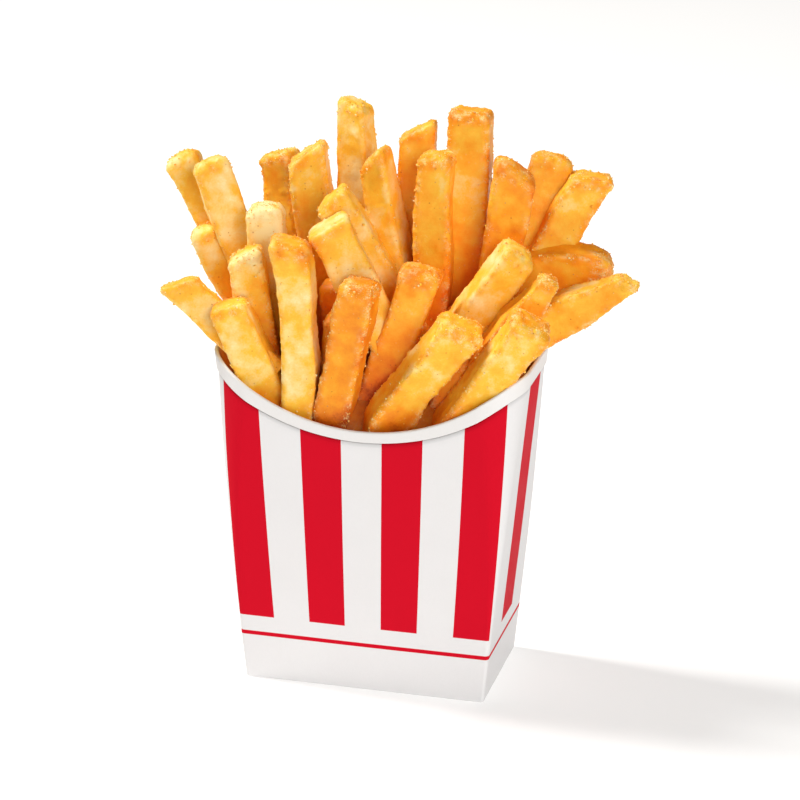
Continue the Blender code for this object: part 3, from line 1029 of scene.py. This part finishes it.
@dataclass
class FryCutter:
    """Cuts and fries potato sticks: a rounded square carried along a bowed axis, in millimetres."""

    thickness: float = 11
    corner: float = 2.0
    corner_points: int = 13
    spacing: float = 0.5
    end_spread: float = 1.6
    dome_height: float = 0.4
    ring_shares: tuple[float, ...] = (0.0, 0.3, 0.6, 0.85, 0.97, 1.0)
    uneven: float = 0.06
    taper_from: float = 0.65
    seed: int = 12
    # painted shade: extra browning of the fries low in the gaps, up to a height that climbs towards
    # the back
    low_shade: float = 0.64
    low_end: float = 80
    low_start: float = 138
    low_rise: float = 1.9
    low_reach: float = 9
    bare_share: float = 0.06
    edge_width: float = 1.5
    slant_growth: float = 6
    twist: Ripple = Ripple(math.radians(5), 0.7)
    squeeze: Ripple = Ripple(0.05, 13)
    sway_across: Ripple = Ripple(0.55, 17)
    sway_back: Ripple = Ripple(0.45, 15)
    swell: Ripple = Ripple(0.36, 11)
    lump: Ripple = Ripple(0.15, 4.2)
    blister: Ripple = Ripple(0.32, 2.3)
    blister_floor: float = 0.22
    hollow: float = 0.14
    high: float = 0.45
    high_pale: float = 0.10
    tip_reach: float = 6.5
    tip_swell: float = 0.15
    broad_toast: Ripple = Ripple(0.16, 9)
    local_toast: Ripple = Ripple(0.09, 3)
    edge_toast: float = 0.12
    clearance: float = 0.1 * MM

    def ring_sizes(self, count: int) -> Array:
        """Thickness shares at each fry's rings, drawn in the order that the solids use."""
        draw = random.Random(self.seed)
        sizes = [[1 + draw.uniform(-self.uneven, self.uneven) for _ in self.ring_shares]
                 for _ in range(count)]
        return np.array(sizes)

    def axis(self, fry: Fry, share: Array) -> tuple[Array, Array, Array, Array]:
        """Centre and directions along a fry's axis.

        The axis is a quadratic curve through foot, middle and tip, its middle moved sideways by
        the bow. The second direction is Y made square to the tangent, the first is it crossed
        with the tangent, and both are turned by the fry's turn and a slight twist.

        Args:
            fry: the fry.
            share: how far along the axis each place is, from 0 to 1.

        Returns:
            Centre, right, back and tangent at each place.
        """
        slope = np.array((math.tan(math.radians(fry.lean)), math.tan(math.radians(fry.pitch)), 1))
        crossing = np.array((fry.across, fry.deep, LAID_AT))
        foot = crossing + slope * (fry.foot - LAID_AT)
        tip = crossing + slope * (fry.top - LAID_AT)
        sideways = np.array((-slope[2], 0, slope[0])) / math.hypot(slope[2], slope[0])
        control = (foot + tip) / 2 + 2 * sideways * fry.bow
        part = share[:, None]
        centre = foot * (1 - part)**2 + control * 2 * part * (1 - part) + tip * part**2
        tangent = (control - foot) * (1 - part) + (tip - control) * part
        tangent /= np.linalg.norm(tangent, axis=1, keepdims=True)
        depth = np.array((0, 1, 0)) - tangent * tangent[:, 1:2]
        depth /= np.linalg.norm(depth, axis=1, keepdims=True)
        across = np.cross(depth, tangent)
        twist = self.twist.along(share, int(fry.across * 7 + fry.top))
        angle = (math.radians(fry.turn) + twist)[:, None]
        right = across * np.cos(angle) + depth * np.sin(angle)
        back = depth * np.cos(angle) - across * np.sin(angle)
        return centre, right, back, tangent

    def section(self, width: float, columns: int) -> tuple[Array, Array]:
        """A square with rounded corners, its points evenly spaced round it.

        The outline is traced finely, arcs and all, and read again at even distances. The edge
        value is a bell curve over the distance to the nearest corner's middle.

        Args:
            width: the section's width; its thickness is the cutter's.
            columns: how many points to return.

        Returns:
            Points as pairs, and the edge value at each.
        """
        half = np.array((width, self.thickness)) / 2
        signs = np.array(((1, -1), (1, 1), (-1, 1), (-1, -1)))
        quarter = np.linspace(0, math.pi / 2, self.corner_points)
        arcs, middles = [], []
        for index, sign in enumerate(signs):
            angle = quarter - math.pi / 2 + index * math.pi / 2
            arc = sign * (half - self.corner)
            arcs.append(arc + self.corner * np.stack((np.cos(angle), np.sin(angle)), axis=-1))
            middles.append(index * len(quarter) + len(quarter) // 2)
        traced = np.concatenate(arcs + [arcs[0][:1]])
        lengths = np.concatenate(((0,), np.cumsum(np.linalg.norm(np.diff(traced, axis=0), axis=1))))
        round_trip = lengths[-1]
        wanted = np.arange(columns) / columns * round_trip
        points = np.stack([np.interp(wanted, lengths, traced[:, axis]) for axis in (0, 1)], axis=-1)
        away = np.abs(wanted[:, None] - lengths[middles])
        away = np.minimum(away, round_trip - away).min(axis=1)
        return points, np.exp(-(away / self.edge_width) ** 2)

    def stations(self, fry: Fry, length: float) -> tuple[Array, Array, Array]:
        """Where the fry's rings lie, and how large and how near the end's edge each one is.

        Rings are evenly spaced up to the end's rounding, follow a quarter circle over it, and
        close over a slightly domed end face.

        Args:
            fry: the fry.
            length: its length.

        Returns:
            Distance from the foot, share of the full section, and edge value of each ring.
        """
        half = min(fry.width, self.thickness) / 2
        rounding = fry.rounding
        body = np.linspace(0, length - rounding, max(8, round(length / self.spacing)))
        turn_rings = max(4, round(rounding * self.end_spread / self.spacing))
        turn = np.linspace(0, math.pi / 2, turn_rings)[1:]
        lip = 1 - rounding * (1 - np.cos(turn)) / half
        face_rings = max(3, round(half * lip[-1] / (self.spacing * self.end_spread)))
        face = lip[-1] * np.linspace(1, 0, face_rings + 1)[1:-1]
        dome = length + self.dome_height * (1 - (face / lip[-1]) ** 2)
        along = np.concatenate((body, length - rounding + rounding * np.sin(turn), dome))
        scale = np.concatenate((np.ones(len(body)), lip, face))
        from_edge = np.concatenate((
            (length - rounding) - body, 0 * turn, (lip[-1] - face) * half))
        return along, scale, np.exp(-(from_edge / self.edge_width) ** 2)

    def relief(self, local: Array, edge: Array, crust: float, seed: int) -> Array:
        """How far the crust stands out of the plain stick.

        It adds broad swells, lumps, blisters that rise only where their noise is high, fine
        grain, a ragged line along the edges, and a slight hollow in the middle of each face.

        Args:
            local: places in the fry's own directions.
            edge: edge value at each place.
            crust: how rough the fry is.
            seed: picks its patterns.

        Returns:
            Height in millimetres at each place.
        """
        raised = smooth_noise(local, self.blister.cell, seed + 2) - self.blister_floor
        blister = self.blister.strength * np.maximum(raised, 0)
        fine = (0.06 + 0.12 * crust * edge) * smooth_noise(local, 0.95, seed + 3)
        ragged = edge * crust * (0.12 + 0.34 * smooth_noise(local, 1.5, seed + 4))
        return (self.swell.at(local, seed) + self.lump.at(local, seed + 1) + blister
                + fine + ragged - self.hollow * (1 - edge))

    def stick(self, fry: Fry, sizes: Array, seed: int) -> tuple[Array, Array, Array, Array]:
        """The plain stick, before its crust.

        A point is its ring's centre, plus the ring's right and back directions times the
        section's coordinates scaled to the ring, plus the tangent times the lift that slants the
        end. The lift grows with a high power of the share of the length.

        Args:
            fry: the fry.
            sizes: its thickness shares at the rings.
            seed: picks its patterns.

        Returns:
            Places as rows and columns, the same places in the fry's own directions, the edge
            value of each, and how near each ring is to the tip.
        """
        ends = self.axis(fry, np.array((0.0, 1.0)))[0]
        length = float(np.linalg.norm(ends[1] - ends[0]))
        along, scale, end_edge = self.stations(fry, length)
        share = np.clip(along / length, 0, 1)
        centre, right, back, tangent = self.axis(fry, share)
        columns = max(24, round(2 * (fry.width + self.thickness) * 0.92 / self.spacing))
        section, side_edge = self.section(fry.width, columns)
        taper = 1 - (1 - fry.tip) * np.clip((share - self.taper_from) / (1 - self.taper_from), 0, 1)
        size = np.interp(share, self.ring_shares, np.append(sizes[:-1], sizes[-2])) * taper * scale
        squeeze = 1 + self.squeeze.along(along, seed + 5)
        u = section[:, 0] * (size * squeeze)[:, None]
        v = section[:, 1] * (size * (2 - squeeze))[:, None]
        lift = math.tan(math.radians(fry.slant)) * u * (share**self.slant_growth)[:, None]
        middle = (centre + right * self.sway_across.along(along, seed + 6)[:, None]
                  + back * self.sway_back.along(along, seed + 7)[:, None]
                  + tangent * np.maximum(along - length, 0)[:, None])
        grid = (middle[:, None] + right[:, None] * u[..., None] + back[:, None] * v[..., None]
                + tangent[:, None] * lift[..., None])
        local = np.stack((u, v, np.broadcast_to(along[:, None], u.shape) + lift), axis=-1)
        edge = np.maximum(side_edge[None] * ramp(scale, 0.3, 0.95)[:, None], end_edge[:, None])
        near_tip = np.exp(-((length - along) / self.tip_reach) ** 2 * (along < length))[:, None]
        return grid, local + seed * 31.0, edge, near_tip

    def browning(self, fry: Fry, local: Array, edge: Array, level: Array, seed: int) -> Array:
        """How toasted each point is, apart from its tip and its blisters.

        It adds the fry's own toast, two ripples, darker edges, and painted shade low in the gaps
        between the fries, rising higher towards the back, and takes some away in bare spots on the
        faces.

        Args:
            fry: the fry.
            local: places in the fry's own directions.
            edge: edge value at each place.
            level: height of each place above the table.
            seed: picks its patterns.

        Returns:
            The toast with the painted shade added, at each place, where 0 is pale and 1 is brown.
        """
        # painted shade deep in the gaps: more browning below a height that rises towards the back
        low_top = self.low_start + self.low_rise * min(fry.deep, self.low_reach)
        gap_shade = 1 - ramp(level, self.low_end, low_top)
        bare = ramp(smooth_noise(local, 5.5, seed + 12), 0.12, 0.34) * (1 - edge)
        return (fry.toast + self.broad_toast.at(local, seed + 8)
                + self.local_toast.at(local, seed + 9)
                + self.edge_toast * edge * (0.5 + smooth_noise(local, 2.2, seed + 10))
                + self.low_shade * gap_shade - self.bare_share * bare)

    def cut(self, fry: Fry, sizes: Array, seed: int, carton: Carton) -> FrySkin:
        """Make one fry: the stick, raised along its normals by its crust.

        Args:
            fry: the fry.
            sizes: its thickness shares at the rings.
            seed: picks its patterns.
            carton: the carton that it has to stay clear of.

        Returns:
            Its skin, in metres.
        """
        grid, local, edge, near_tip = self.stick(fry, sizes, seed)
        normals = outward_normals(grid)
        height = self.relief(local, edge, fry.crust, seed) * (1 + self.tip_swell * near_tip)
        grid = grid + normals * height[..., None]
        toast = (self.browning(fry, local, edge, grid[..., 2], seed)
                 + fry.tip_toast * near_tip - self.high_pale * (height > self.high))
        gathered = ramp(smooth_noise(local, 1.4, seed + 11), -0.2, 0.6)
        flour = edge * (0.25 + 0.75 * fry.crust) * gathered
        grid = carton.keep_inside(grid * MM, self.clearance)
        skin = Skin.from_rings(grid, grid[0].mean(axis=0), grid[-1].mean(axis=0),
                               {"toast": toast, "flour": flour})
        return FrySkin(skin, grid, normals, edge, fry.crust)


@dataclass
class FryBundle:
    """All the fries, in rows from front to back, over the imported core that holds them."""

    carton: Carton
    fine: FryCutter = field(default_factory=FryCutter)
    coarse: FryCutter = field(default_factory=lambda: FryCutter(spacing=0.95))

    def rows(self) -> tuple[tuple[str, tuple[Fry, ...], FryCutter], ...]:
        """Name, fries and cutter of each row, in the order that the solids use."""
        return (
            ("fries_front_row", FRONT_ROW, self.fine),
            ("fries_second_row", SECOND_ROW, self.fine),
            ("fries_third_row", THIRD_ROW, self.fine),
            ("fries_fourth_row", FOURTH_ROW, self.fine),
            ("fries_back_row_left", BACK_ROW_LEFT, self.fine),
            ("fries_back_row_right", BACK_ROW_RIGHT, self.fine),
            ("fries_inner", INNER_FRIES, self.coarse),
            ("fries_rear", REAR_FRIES, replace(self.fine, spacing=0.6)),
        )

    def build(self, crust: bpy.types.Material) -> list[FrySkin]:
        """Make one piece for each row, and return every fry's skin."""
        total = sum(len(fries) for _, fries, _ in self.rows())
        sizes = self.fine.ring_sizes(total)
        made: list[FrySkin] = []
        for name, fries, cutter in self.rows():
            start = len(made)
            made += [cutter.cut(fry, sizes[start + index], 20 * (start + index) + 3, self.carton)
                     for index, fry in enumerate(fries)]
            row = Skin.joined([one.skin for one in made[start:]])
            row.to_object(name, Node.FRIES, Slot.POTATO, [crust])
        return made


@dataclass
class PackedCore:
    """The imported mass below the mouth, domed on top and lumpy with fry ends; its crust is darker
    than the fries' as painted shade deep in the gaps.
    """

    carton: Carton
    clearance: float = 1.5 * MM
    crust_clearance: float = 0.6 * MM
    levels: tuple[float, ...] = (1.3, 4, 40, 78, 90, 96)
    sizes: tuple[float, ...] = (1.0, 1.0, 1.0, 1.0, 0.84, 0.5)
    rows: int = 90
    lump: Ripple = Ripple(0.8, 9)
    knob: Ripple = Ripple(0.4, 3)
    # browned this far as painted shade deep between the fries
    toast: float = 0.72
    toast_change: Ripple = Ripple(0.15, 8)
    flour: float = 0.1
    seed: int = 71

    def build(self, crust: bpy.types.Material) -> bpy.types.Object:
        """Make the core: the carton's outline scaled by level, with lumps of a fry's width."""
        height = np.linspace(self.levels[0], self.levels[-1], self.rows)
        size = np.interp(height, self.levels, self.sizes)
        _, facing, _ = self.carton.columns()
        level = np.broadcast_to(height[:, None] * MM, (self.rows, len(facing)))
        outline = self.carton.outline(level, level * 0 - self.carton.wall - self.clearance)
        rings = outline * np.stack((size, size, np.ones_like(size)), axis=-1)[:, None]
        lumps = self.lump.at(rings / MM, self.seed) + self.knob.at(rings / MM, self.seed + 1)
        rings = rings + outward_normals(rings) * (lumps * MM)[..., None]
        rings = self.carton.keep_inside(rings, self.crust_clearance)
        rings[..., 2] = np.maximum(rings[..., 2], self.levels[0] * MM)
        toast = self.toast + self.toast_change.at(rings / MM, self.seed + 2)
        top = rings[-1].mean(axis=0)
        skin = Skin.from_rings(rings, np.array((0, 0, self.levels[0] * MM)), top,
                               {"toast": toast, "flour": self.flour + 0 * toast})
        return skin.to_object("packed_core", Node.FRIES, Slot.POTATO, [crust])


@dataclass
class Crumbs:
    """Loose grains of coating that cling to the fries, thickest along their edges."""

    name: str
    count: int
    smallest: float
    largest: float
    seed: int
    lowest: float = 84 * MM
    face_chance: float = 0.015
    smallness: float = 2.2
    stand_out: float = 0.35
    darkest: float = 0.55

    @staticmethod
    def coarse() -> "Crumbs":
        """Crumbs big enough to stand out along an edge."""
        return Crumbs("coating_crumbs", 6500, 0.14 * MM, 0.42 * MM, 31)

    @staticmethod
    def dust() -> "Crumbs":
        """Fine crumbs that make the edges look floury."""
        return Crumbs("coating_dust", 23000, 0.08 * MM, 0.20 * MM, 32)

    def icosahedron(self) -> tuple[Array, Array]:
        """The points (0, 1, g), (1, g, 0) and (g, 0, 1) with every pair of signs, and the faces."""
        golden = (1 + math.sqrt(5)) / 2
        corners = []
        for first, second in itertools.product((-1, 1), repeat=2):
            corners += [(0, first, second * golden), (first, second * golden, 0),
                        (second * golden, 0, first)]
        points = np.array(corners, dtype=float) / math.hypot(1, golden)
        gaps = np.linalg.norm(points[:, None] - points[None], axis=-1)
        side = np.min(gaps[gaps > TINY]) * 1.01
        faces = []
        for trio in itertools.combinations(range(len(points)), 3):
            a, b, c = trio
            if max(gaps[a, b], gaps[b, c], gaps[a, c]) < side:
                outward = np.dot(np.cross(points[b] - points[a], points[c] - points[a]), points[a])
                faces.append((a, b, c) if outward > 0 else (a, c, b))
        return points, np.array(faces)

    def octahedron(self) -> tuple[Array, Array]:
        """One point each way along every axis, and a face in every octant."""
        points = np.concatenate((np.eye(3), -np.eye(3)))
        faces = []
        for x, y, z in itertools.product((0, 3), (1, 4), (2, 5)):
            faces.append((x, y, z) if (x + y + z) % 2 == 1 else (x, z, y))
        return points, np.array(faces)

    def build(self, fries: list[FrySkin], crust: bpy.types.Material,
              grain: tuple[Array, Array]) -> bpy.types.Object:
        """Scatter the grains on the fries' skins.

        A grain's chance of lying at a point grows with the edge value and the fry's crust. Each
        is stretched by its own three lengths, turned by a random rotation and sunk by a third.

        Args:
            fries: the fries' skins.
            crust: the crumbs' material.
            grain: points and faces of one grain.

        Returns:
            The piece.
        """
        draw = np.random.default_rng(self.seed)
        places = np.concatenate([fry.places.reshape(-1, 3) for fry in fries])
        normals = np.concatenate([fry.normals.reshape(-1, 3) for fry in fries])
        chance = np.concatenate([((self.face_chance + fry.edge**2) * fry.crust**1.2).ravel()
                                 for fry in fries])
        chance = chance * (places[:, 2] > self.lowest)
        chosen = draw.choice(len(places), self.count, replace=False, p=chance / chance.sum())
        size_share = draw.random(self.count) ** self.smallness
        radius = self.smallest + (self.largest - self.smallest) * size_share
        stretch = draw.uniform(0.6, 1.25, (self.count, 3)) * radius[:, None]
        turned, _ = np.linalg.qr(draw.normal(size=(self.count, 3, 3)))
        turned *= np.sign(np.linalg.det(turned))[:, None, None]
        points, faces = grain
        shaped = np.einsum("nij,nj,kj->nki", turned, stretch, points)
        centres = places[chosen] + normals[chosen] * (self.stand_out * radius)[:, None]
        grains = (shaped + centres[:, None]).reshape(-1, 3)
        starts = np.arange(self.count) * len(points)
        triangles = (faces[None] + starts[:, None, None]).reshape(-1, 3)
        tone = np.repeat(draw.uniform(0.0, self.darkest, self.count), len(points))
        skin = Skin(grains, np.zeros((0, 4), int), triangles,
                    {"toast": tone, "flour": np.repeat(draw.random(self.count), len(points))})
        return skin.to_object(self.name, Node.FRIES, Slot.POTATO, [crust])


@dataclass(frozen=True)
class Lamp:
    """A soft box, its size given as width and height, its power in watts."""

    name: str
    place: tuple[float, float, float]
    size: tuple[float, float]
    power: float
    colour: tuple[float, float, float] = (1.0, 1.0, 1.0)

    def hang(self, aim: tuple[float, float, float]) -> bpy.types.Object:
        """Hang the lamp so that it faces a point."""
        lamp = bpy.data.lights.new(self.name, "AREA")
        lamp.shape = "RECTANGLE"
        lamp.size, lamp.size_y = self.size
        lamp.energy = self.power
        lamp.color = self.colour
        hung = bpy.data.objects.new(self.name, lamp)
        hung.location = self.place
        way = Vector(aim) - Vector(self.place)
        hung.rotation_euler = way.to_track_quat("-Z", "Y").to_euler()
        bpy.context.scene.collection.objects.link(hung)
        return hung


@dataclass
class Studio:
    """The floor, the light and the camera."""

    azimuth: float = 15.07
    elevation: float = 20.72
    distance: float = 1.0
    target: tuple[float, float, float] = (0, 0, 0.080)
    lens: float = 141.3
    sensor: float = 36
    shift: tuple[float, float] = (0.0228, 0.0404)
    floor_size: float = 8.0
    paper: tuple[float, float, float] = (0.56, 0.56, 0.56)
    glow: tuple[float, float, float] = (1.0, 0.98, 0.955)
    glow_strength: float = 0.57
    key: Lamp = Lamp("key", (-0.82, 0.1, 1.3), (0.2, 0.75), 25.5, (1.0, 0.98, 0.95))
    fill: Lamp = Lamp("fill", (1.1, -1.35, 0.85), (1.0, 1.0), 20.0)
    lit_place: tuple[float, float, float] = (0, 0, 0.1)
    surround: float = 0.15

    def make_floor(self) -> bpy.types.Object:
        """A wide white floor that glows a little, as a lit paper sweep does."""
        half = self.floor_size / 2
        mesh = bpy.data.meshes.new("floor")
        corners = [(-half, -half, 0), (half, -half, 0), (half, half, 0), (-half, half, 0)]
        mesh.from_pydata(corners, [], [(0, 1, 2, 3)])
        floor = bpy.data.objects.new("floor", mesh)
        bpy.context.scene.collection.objects.link(floor)
        material, desk, shader = Finish(specular=0.1, roughness=0.9).start("white_sweep")
        desk.feed_all(shader, {
            "Base Color": self.paper, "Emission Color": self.glow,
            "Emission Strength": self.glow_strength,
        })
        mesh.materials.append(material)
        return floor

    def make_light(self) -> None:
        """A tall key light on the left, a broad fill in front on the right, a white surround."""
        for lamp in (self.key, self.fill):
            lamp.hang(self.lit_place)
        world = bpy.data.worlds.new("surround")
        world.use_nodes = True
        sky = world.node_tree.nodes["Background"]
        sky.inputs["Color"].default_value = (1, 1, 1, 1)
        sky.inputs["Strength"].default_value = self.surround
        bpy.context.scene.world = world
        bpy.context.scene.view_settings.view_transform = "Standard"
        bpy.context.scene.view_settings.look = "None"

    def make_camera(self) -> bpy.types.Object:
        """The camera, its axes built from the azimuth and the elevation."""
        turn, rise = math.radians(self.azimuth), math.radians(self.elevation)
        right = Vector((math.cos(turn), math.sin(turn), 0))
        back = Vector((math.sin(turn) * math.cos(rise), -math.cos(turn) * math.cos(rise),
                       math.sin(rise)))
        up = back.cross(right)
        data = bpy.data.cameras.new("camera")
        data.lens = self.lens
        data.sensor_width = self.sensor
        data.shift_x, data.shift_y = self.shift
        camera = bpy.data.objects.new("camera", data)
        axes = Matrix((right, up, back)).transposed().to_4x4()
        camera.matrix_world = Matrix.Translation(Vector(self.target) + back * self.distance) @ axes
        bpy.context.scene.collection.objects.link(camera)
        bpy.context.scene.camera = camera
        return camera

    def build(self) -> None:
        """Set up floor, light and camera."""
        self.make_camera()
        self.make_floor()
        self.make_light()


def main() -> None:
    """Build every piece in order, from the studio in."""
    logging.basicConfig(level=logging.INFO, format="%(message)s")
    Studio().build()
    fibre = board_fibre_group()
    fried = fried_grain_group()

    carton = Carton()
    carton.build(PrintedBoard().build(fibre), BareBoard().build(fibre))

    golden = FriedCrust()
    fries = FryBundle(carton).build(golden.build(fried))
    # the packed core's crust is darkened as painted shade deep between the fries
    deep = replace(golden, name="shaded_core_crust", darkness=0.6)
    PackedCore(carton).build(deep.build(fried))
    loose = replace(golden, name="crumb_crust", relief=0.05 * MM).build(fried)
    coarse, dust = Crumbs.coarse(), Crumbs.dust()
    coarse.build(fries, loose, coarse.icosahedron())
    dust.build(fries, loose, dust.octahedron())


if __name__ == "__main__":
    main()
